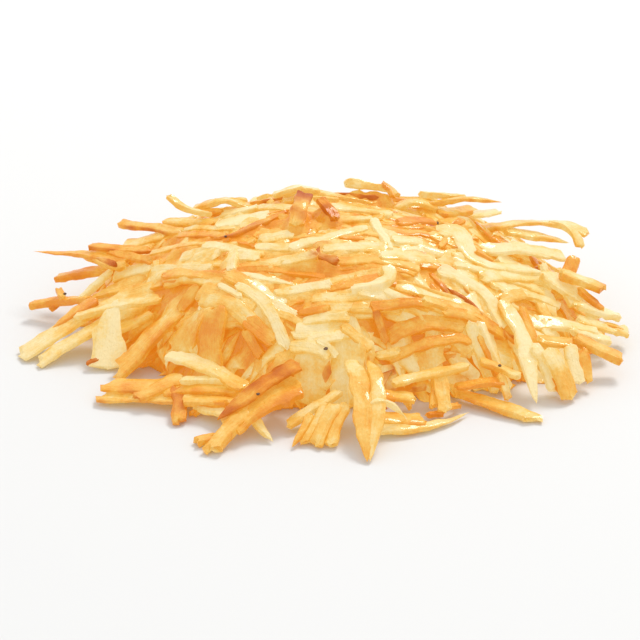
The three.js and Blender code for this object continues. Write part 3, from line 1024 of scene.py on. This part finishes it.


# Fried potato, coarsely grated and cooked in oil: the moist inside lets light through, and its warm yellow
# glow is painted light, its own colour given off as emission. The cut faces show faint fibres, and an oil
# film gives small soft glints.
friedPotato = {
    # flesh from the palest to the most cooked, and where each colour stands on the way
    "flesh": [(0.0, "#fcf3cc"), (0.3, "#fae5a4"), (0.5, "#f9d377"), (0.75, "#f6be52"), (1.0, "#f2a434")],
    "crust": [(0.25, "#e58a22"), (0.9, "#bd5a08")],
    "crustFrom": (0.1, 0.62),  # where crust starts to take over from flesh, and where it has
    "depth": 0.8 * mm,  # how far light travels inside before it comes out again
    "inside": 0.3,  # share of the light that does
    "paintedGlow": 0.52,  # painted glow: emission strength of the flesh colour, standing in for light that has wandered through the rest of the heap
    "paintedGlowTint": "#ffe6b0",  # tint of the painted glow, which makes it warmer
    "lit": 0.46,  # share of the colour kept as base colour for the lamps to light; the painted glow adds the rest
    "through": "#ffe6a8",  # colour of the light that comes out on the far side
    "seeThrough": 0.06,  # share of it
    "paintedShadeDepth": 3.2,  # mm under its surroundings at which the painted shade, a more golden flesh, is full
    "paintedShadeTone": 0.7,  # and by how much the painted shade moves the tone
    "crease": 40,  # degrees from which an edge looks cut and not soft
    "roughness": (0.28, 0.53),  # along the fibres and between them
    "oil": 0.5,
    "oilRoughness": 0.09,
    "dries": 4,  # how fast that film goes as the potato gets crisp
    "ior": 1.4,
    "specular": 0.3,
    "fibre": 0.5,  # mm between fibres
    "fibreShape": (0.09, 1, 0.4),  # they run along the shred, and are wider than they are deep
    "blotch": 6.0,  # mm across a patch of other colour
    "pit": 1.1,  # mm across a dent where a bit has come off
    "pore": 0.35,  # mm across a surface pore, drawn a little coarser than real starch grains
    # how far each of them moves the tone, and the crust
    # blotch and fibre are colour patterns; the pit shift makes the dents, low in the relief, more golden:
    # mottling, and painted shade in the dents
    "tones": {"blotch": 1.0, "fibre": 0.35, "pit": -0.6},
    "blotchCrust": 0.9,
    "relief": 0.5 * mm,  # height of the bumps
    "bump": 0.8,
    "poreRelief": 0.4,  # against the fibres
    "pitRelief": 1.1,
}


timesPlus = {"operation": "MULTIPLY_ADD"}  # the first input times the second, plus the third


def potatoPatterns(tree):  # each from 0 to 1; fibres run along the shred, the others go any way
    grain = addNode(tree, "ShaderNodeAttribute", {"attribute_name": "grain"})
    place = addNode(tree, "ShaderNodeTexCoord")
    shape = [share / friedPotato["fibre"] for share in friedPotato["fibreShape"]]
    stretched = addNode(
        tree, "ShaderNodeVectorMath", {"operation": "MULTIPLY"}, {0: grain.outputs["Vector"], 1: shape}
    )
    patterns = {}
    for pattern, where, size, detail, roughness in (
        ("blotch", place.outputs["Object"], friedPotato["blotch"] * mm, 3.0, 0.55),
        ("pit", place.outputs["Object"], friedPotato["pit"] * mm, 3.0, 0.7),
        ("pore", place.outputs["Object"], friedPotato["pore"] * mm, 2.0, 0.5),
        ("fibre", stretched.outputs[0], 1.0, 3.0, 0.6),
    ):
        noise = addNode(
            tree, "ShaderNodeTexNoise", None,
            {"Vector": where, "Scale": 1 / size, "Detail": detail, "Roughness": roughness},
        )
        patterns[pattern] = noise.outputs["Fac"]
    return patterns


def movedBy(tree, value, pattern, amount):  # up where the pattern is strong, and down where it is weak
    shift = addNode(tree, "ShaderNodeMath", timesPlus, {0: pattern, 1: amount, 2: -amount / 2})
    return addNode(tree, "ShaderNodeMath", {"operation": "ADD"}, {0: value, 1: shift.outputs[0]}).outputs[0]


def fleshColour(tree, patterns, cookedAndShaded):  # by how far it is cooked, and more golden deep in the heap as painted shade
    tone = cookedAndShaded.outputs["Red"]
    for pattern, amount in friedPotato["tones"].items():
        tone = movedBy(tree, tone, patterns[pattern], amount)
    # painted shade: the blue channel pushes the tone towards golden amber in recesses
    deeper = {0: cookedAndShaded.outputs["Blue"], 1: friedPotato["paintedShadeTone"], 2: tone}
    tone = addNode(tree, "ShaderNodeMath", timesPlus, deeper)
    flesh = addNode(tree, "ShaderNodeValToRGB", {"stops": friedPotato["flesh"]}, {"Fac": tone.outputs[0]})
    return flesh.outputs["Color"]


def potatoColour(tree, patterns):  # flesh, and crust over it where it has browned
    cook = addNode(tree, "ShaderNodeAttribute", {"attribute_name": "cook"})
    cookedAndShaded = addNode(tree, "ShaderNodeSeparateColor", None, {"Color": cook.outputs["Color"]})
    flesh = fleshColour(tree, patterns, cookedAndShaded)
    toast = movedBy(tree, cookedAndShaded.outputs["Green"], patterns["blotch"], friedPotato["blotchCrust"])
    first, last = friedPotato["crustFrom"]
    crusted = addNode(
        tree, "ShaderNodeMapRange", {"interpolation_type": "SMOOTHSTEP"},
        {"Value": toast, "From Min": first, "From Max": last},
    )
    crust = addNode(tree, "ShaderNodeValToRGB", {"stops": friedPotato["crust"]}, {"Fac": toast})
    colour = addNode(
        tree, "ShaderNodeMix", {"data_type": "RGBA"},
        {"Factor": crusted.outputs["Result"], "A": flesh, "B": crust.outputs["Color"]},
    )
    return colour.outputs["Result"]


def potatoRelief(tree, patterns, crisp):  # the bumps of its fibres, pores and pits
    height = patterns["fibre"]
    for pattern, amount in (("pore", friedPotato["poreRelief"]), ("pit", friedPotato["pitRelief"])):
        raised = addNode(tree, "ShaderNodeMath", timesPlus, {0: patterns[pattern], 1: amount, 2: height})
        height = raised.outputs[0]
    bump = addNode(
        tree, "ShaderNodeBump", None,
        {"Strength": friedPotato["bump"] + crisp, "Distance": friedPotato["relief"], "Height": height},
    )
    return bump.outputs["Normal"]


def potatoMaterial(name, crisp):  # crisp: how much rougher it is than moist flesh
    look = friedPotato
    material, tree = emptyMaterial(name)
    patterns = potatoPatterns(tree)
    colour = potatoColour(tree, patterns)
    # the same colour as base colour lit from outside, as painted glow given off as emission, and as light
    # comes through
    tints = ((look["lit"],) * 3 + (1.0,), hexColour(look["paintedGlowTint"]), hexColour(look["through"]))
    lit, paintedGlowColour, behind = [
        addNode(
            tree, "ShaderNodeMix", {"data_type": "RGBA", "blend_type": "MULTIPLY"},
            {"Factor": 1.0, "A": colour, "B": tint},
        ).outputs["Result"]
        for tint in tints
    ]
    smooth, rough = [roughness + crisp for roughness in look["roughness"]]
    gloss = addNode(
        tree, "ShaderNodeMapRange", None,
        {"Value": patterns["fibre"], "From Min": 0.3, "From Max": 0.7, "To Min": smooth, "To Max": rough},
    )
    relief = potatoRelief(tree, patterns, crisp)
    shader = addNode(
        tree, "ShaderNodeBsdfPrincipled", {"subsurface_method": "RANDOM_WALK"},
        {
            "Base Color": lit,
            "Roughness": gloss.outputs["Result"],
            "Normal": relief,
            "Subsurface Weight": look["inside"],
            "Subsurface Radius": (1.0, 1.0, 1.0),
            "Subsurface Scale": look["depth"],
            # painted glow: the potato gives off its own warm colour as emission, though it is no lamp
            "Emission Color": paintedGlowColour,
            "Emission Strength": look["paintedGlow"],
            "IOR": look["ior"],
            "Specular IOR Level": look["specular"],
            "Coat Weight": look["oil"] * (1 - look["dries"] * crisp),
            "Coat Roughness": look["oilRoughness"],
        },
    )
    farSide = addNode(tree, "ShaderNodeBsdfTranslucent", None, {"Color": behind, "Normal": relief})
    both = addNode(
        tree, "ShaderNodeMixShader", None,
        {0: look["seeThrough"], 1: shader.outputs["BSDF"], 2: farSide.outputs["BSDF"]},
    )
    addNode(tree, "ShaderNodeOutputMaterial", None, {"Surface": both.outputs["Shader"]})
    return material


moistPotato = potatoMaterial("soft_fried_potato", 0.0)
crispPotato = potatoMaterial("crisp_browned_potato", 0.12)  # fried dry: rough, with half the oil


# the mass under the shreds

core = {
    "cell": 0.6,
    "fromX": (-84, 84),
    "fromY": (-66, 70),
    "over": 2.0,  # shreds that stand higher than this over the outline don't raise it
    "soften": 1.1,  # how far the relief and the tone of what lies on it are smoothed away
    "smooth": 2.0,  # how far its slopes and its outline are
    "around": 1.6,  # and how far what a spot's surroundings are judged by is
    "below": 0.35,  # how deep under the shreds it stands, square to the slope
    "lump": (0.6, 1.6),  # height and size of its lumps
    "sunk": 0.3,  # share of a lump's height by which they are all lowered
    "deeper": 0.3,  # painted shade: it is made that much more golden than what lies on it
    "hides": 0.12,  # a shred with a smaller share than this in sight is left out
    "swollen": 1.2,  # it stays under the outline's height times this, less so many mm,
    "edge": 2.5,  # which makes it end inside the heap's rim
    "thinnest": 0.6,  # it ends where it would be thinner than this
    "foot": 0.2,  # height of its underside
}


def coreHeights():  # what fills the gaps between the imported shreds
    top = blurred(np.minimum(lying, target + core["over"]), core["soften"])
    slope = np.hypot(*np.gradient(blurred(top, core["smooth"]), heap["cell"]))
    top = top - core["below"] * np.sqrt(1 + slope**2)
    high, across = core["lump"]
    lump = softNoise(np.stack([*np.meshgrid(gridX, gridY), np.zeros((ny, nx))], -1), across)
    top = top + high * (lump - core["sunk"])
    return np.minimum(top, blurred(target, core["smooth"]) * core["swollen"] - core["edge"])


surroundings = blurred(np.minimum(lying, target + core["over"]), core["around"])
coreSkin = coreHeights()


def recessAt(verts):  # painted shade: 0 at the heap's surface and 1 deep in a gap
    under = readMap(surroundings, verts[:, 0], verts[:, 1]) - verts[:, 2]
    return np.clip(under / friedPotato["paintedShadeDepth"], 0, 1)


def inSight(verts):  # share of a shred that the mass leaves in sight
    return float(np.mean(verts[:, 2] > readMap(coreSkin, verts[:, 0], verts[:, 1]) - 0.1))


def addObject(name, mesh, material):
    mesh.update()
    piece = bpy.data.objects.new(name, mesh)
    bpy.context.collection.objects.link(piece)
    mesh.materials.append(material)
    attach(piece, "root")
    return piece


def potatoMesh(name, verts, faces, cook, grain):
    mesh = bpy.data.meshes.new(name)
    mesh.from_pydata((verts * mm).tolist(), [], faces)
    for layer, kind, field, values in (
        ("cook", "FLOAT_COLOR", "color", cook),
        ("grain", "FLOAT_VECTOR", "vector", grain),
    ):
        attribute = mesh.attributes.new(layer, kind, "POINT")
        attribute.data.foreach_set(field, values.astype(np.float32).ravel())
    mesh.polygons.foreach_set("use_smooth", [True] * len(mesh.polygons))
    print(name, sum(len(face) - 2 for face in faces), "triangles")
    return mesh


def joinShreds(name, shreds, material):
    faces = []
    start = 0
    for verts, cook, grain, rings in shreds:
        # painted shade: points deep in a gap between shreds get a more golden tone
        cook[:, 2] = np.maximum(cook[:, 2], recessAt(verts))
        faces += [tuple(start + i for i in face) for face in facesFor[rings]]
        start += len(verts)
    verts, cook, grain = [np.concatenate([each[k] for each in shreds]) for k in range(3)]
    mesh = potatoMesh(name, verts, faces, cook, grain)
    mesh.set_sharp_from_angle(angle=math.radians(friedPotato["crease"]))
    return addObject(name, mesh, material)


def coreFaces(whole, number, count):  # for each whole cell, one above and one below, and its outer sides
    covered = np.pad(whole, 1)
    faces = []
    for r, c in zip(*np.nonzero(whole)):
        corners = number[r, c], number[r, c + 1], number[r + 1, c + 1], number[r + 1, c]
        a, b, d, e = (int(corner) for corner in corners)
        faces += [(a, b, d, e), (e + count, d + count, b + count, a + count)]
        sides = ((a, b, covered[r, c + 1]), (d, e, covered[r + 2, c + 1]), (e, a, covered[r + 1, c]))
        for first, second, neighbour in (*sides, (b, d, covered[r + 1, c + 2])):
            if not neighbour:
                faces.append((second, first, first + count, second + count))
    return faces


def makeCore():  # a grid over the mass, a flat one under it, and a wall between their edges
    gx, gy = np.meshgrid(*[np.arange(*core[way], core["cell"]) for way in ("fromX", "fromY")])
    z = readMap(coreSkin, gx, gy)
    keep = z > core["thinnest"]
    whole = keep[:-1, :-1] & keep[1:, :-1] & keep[:-1, 1:] & keep[1:, 1:]
    used = np.zeros(z.shape, bool)
    for row in (0, 1):
        for column in (0, 1):
            used[row : row + whole.shape[0], column : column + whole.shape[1]] |= whole
    count = int(used.sum())
    number = -np.ones(z.shape, int)
    number[used] = np.arange(count)
    top = np.column_stack([gx[used], gy[used], z[used]])
    verts = np.concatenate([top, top * (1, 1, 0) + (0, 0, core["foot"])])
    cook = np.zeros((len(verts), 4))
    cook[:, 0] = readMap(blurred(toneOnTop, core["soften"]), verts[:, 0], verts[:, 1])
    # painted shade: the mass under the shreds is made more golden, and more so deep in gaps
    cook[:, 2] = core["deeper"] + recessAt(verts)
    mesh = potatoMesh("packed_core", verts, coreFaces(whole, number, count), cook, verts)
    piece = addObject("packed_core", mesh, moistPotato)
    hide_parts("hash_brown_heap")
    return piece


inAll = sum(len(shreds) for shreds in laid.values())
laid = {name: [each for each in shreds if inSight(each[0]) > core["hides"]] for name, shreds in laid.items()}
print("shreds in sight:", sum(len(shreds) for shreds in laid.values()), "of", inAll)

potato = []
for name, (most, slot) in pieces.items():
    material = crispPotato if slot == "browned_potato" else moistPotato
    potato.append(joinShreds(name, laid[name], material))
potato.append(makeCore())

# specks of ground black pepper on top of what is in sight

pepper = {
    "places": [(-72, 6), (0, -35), (-17, -49), (45, -34), (-27, 4), (31, 16)],
    "across": (0.7, 1.1),
    "uneven": (0.35, 0.4),  # share by which it bulges, and size of the bulges
    "flat": 0.7,  # how much lower it is than wide
    "raised": 0.15,  # share of it that its middle stands off the potato
    "husk": "#3a2414",
    "worn": "#7a5434",
    "wrinkle": 0.3,  # mm across a wrinkle of its husk
    "relief": 0.15 * mm,
}


# Ground black pepper: dark wrinkled husk, and paler brown where the mill has worn it through.
def pepperMaterial():
    material, tree = emptyMaterial("ground_black_pepper")
    place = addNode(tree, "ShaderNodeTexCoord")
    husk = addNode(
        tree, "ShaderNodeTexNoise", None,
        {"Vector": place.outputs["Object"], "Scale": 1 / (pepper["wrinkle"] * mm), "Detail": 3.0},
    )
    stops = [(0.3, pepper["husk"]), (0.75, pepper["worn"])]
    colour = addNode(tree, "ShaderNodeValToRGB", {"stops": stops}, {"Fac": husk.outputs["Fac"]})
    bump = addNode(
        tree, "ShaderNodeBump", None,
        {"Strength": 0.6, "Distance": pepper["relief"], "Height": husk.outputs["Fac"]},
    )
    shader = addNode(
        tree, "ShaderNodeBsdfPrincipled", None,
        {"Base Color": colour.outputs["Color"], "Roughness": 0.6, "Normal": bump.outputs["Normal"]},
    )
    addNode(tree, "ShaderNodeOutputMaterial", None, {"Surface": shader.outputs["BSDF"]})
    return material


def makePepper():
    trees = [treeOf(piece.data) for piece in potato]
    bulging, size = pepper["uneven"]
    shape = bmesh.new()
    for x, y in pepper["places"]:
        height = max(lookDown(tree, x, y) for tree in trees)
        across = rng.uniform(*pepper["across"]) * mm
        for vert in bmesh.ops.create_icosphere(shape, subdivisions=2, radius=across / 2)["verts"]:
            bulge = 1 + bulging * float(softNoise(np.array(vert.co) / mm + (x, y, 0), size))
            vert.co = Vector((vert.co.x * bulge, vert.co.y * bulge, vert.co.z * bulge * pepper["flat"]))
            vert.co += Vector((x * mm, y * mm, height + across * pepper["raised"]))
    mesh = bpy.data.meshes.new("pepper_specks")
    shape.to_mesh(mesh)
    shape.free()
    addObject("pepper_specks", mesh, pepperMaterial())
    print("pepper specks:", len(pepper["places"]))


makePepper()

# floor, light and camera

studio = {
    "floor": "#d5d5d4",
    "floorSize": 6,
    "sky": 1.02,
    "softbox": 14.0,  # watts
    "softboxSize": 0.45,
    "softboxPlace": (0.5, 0.75, 1.3),
    "softboxAim": (0, 0, 0.02),
    "bounces": 12,  # light has to find its way out between the shreds
}

bpy.ops.mesh.primitive_plane_add(size=studio["floorSize"], location=(0, 0, 0))
floor = bpy.context.object
floor.name = "floor"
paper = bpy.data.materials.new("matt_white_paper")
paper.use_nodes = True
paperShader = paper.node_tree.nodes["Principled BSDF"]
paperShader.inputs["Base Color"].default_value = hexColour(studio["floor"])
paperShader.inputs["Roughness"].default_value = 0.9
floor.data.materials.append(paper)

world = bpy.data.worlds.new("white_room")
world.use_nodes = True
world.node_tree.nodes["Background"].inputs["Color"].default_value = (1, 1, 1, 1)
world.node_tree.nodes["Background"].inputs["Strength"].default_value = studio["sky"]
bpy.context.scene.world = world


def setUp(thing, back):  # adds a lamp or a camera, turned to face against the way back to it
    thing.rotation_mode = "QUATERNION"
    thing.rotation_quaternion = back.to_track_quat("Z", "Y")
    bpy.context.collection.objects.link(thing)


lamp = bpy.data.lights.new("softbox", "AREA")
lamp.energy = studio["softbox"]
lamp.size = studio["softboxSize"]
softbox = bpy.data.objects.new("softbox", lamp)
softbox.location = studio["softboxPlace"]
setUp(softbox, softbox.location - Vector(studio["softboxAim"]))

# degrees above the floor, metres away, mm of lens on a sensor 36 mm wide, and the point it looks at
view = {"height": 29.0, "distance": 0.520, "lens": 108, "sensor": 36, "aim": (-0.00145, -0.00715, 0.008)}

camera = bpy.data.objects.new("camera", bpy.data.cameras.new("camera"))
camera.data.lens = view["lens"]
camera.data.sensor_width = view["sensor"]
tip = math.radians(view["height"])
back = Vector((0, -math.cos(tip), math.sin(tip)))
camera.location = Vector(view["aim"]) + back * view["distance"]
setUp(camera, back)
bpy.context.scene.camera = camera
bpy.context.scene.view_settings.view_transform = "Standard"
bpy.context.scene.cycles.diffuse_bounces = studio["bounces"]

print("scene ready")
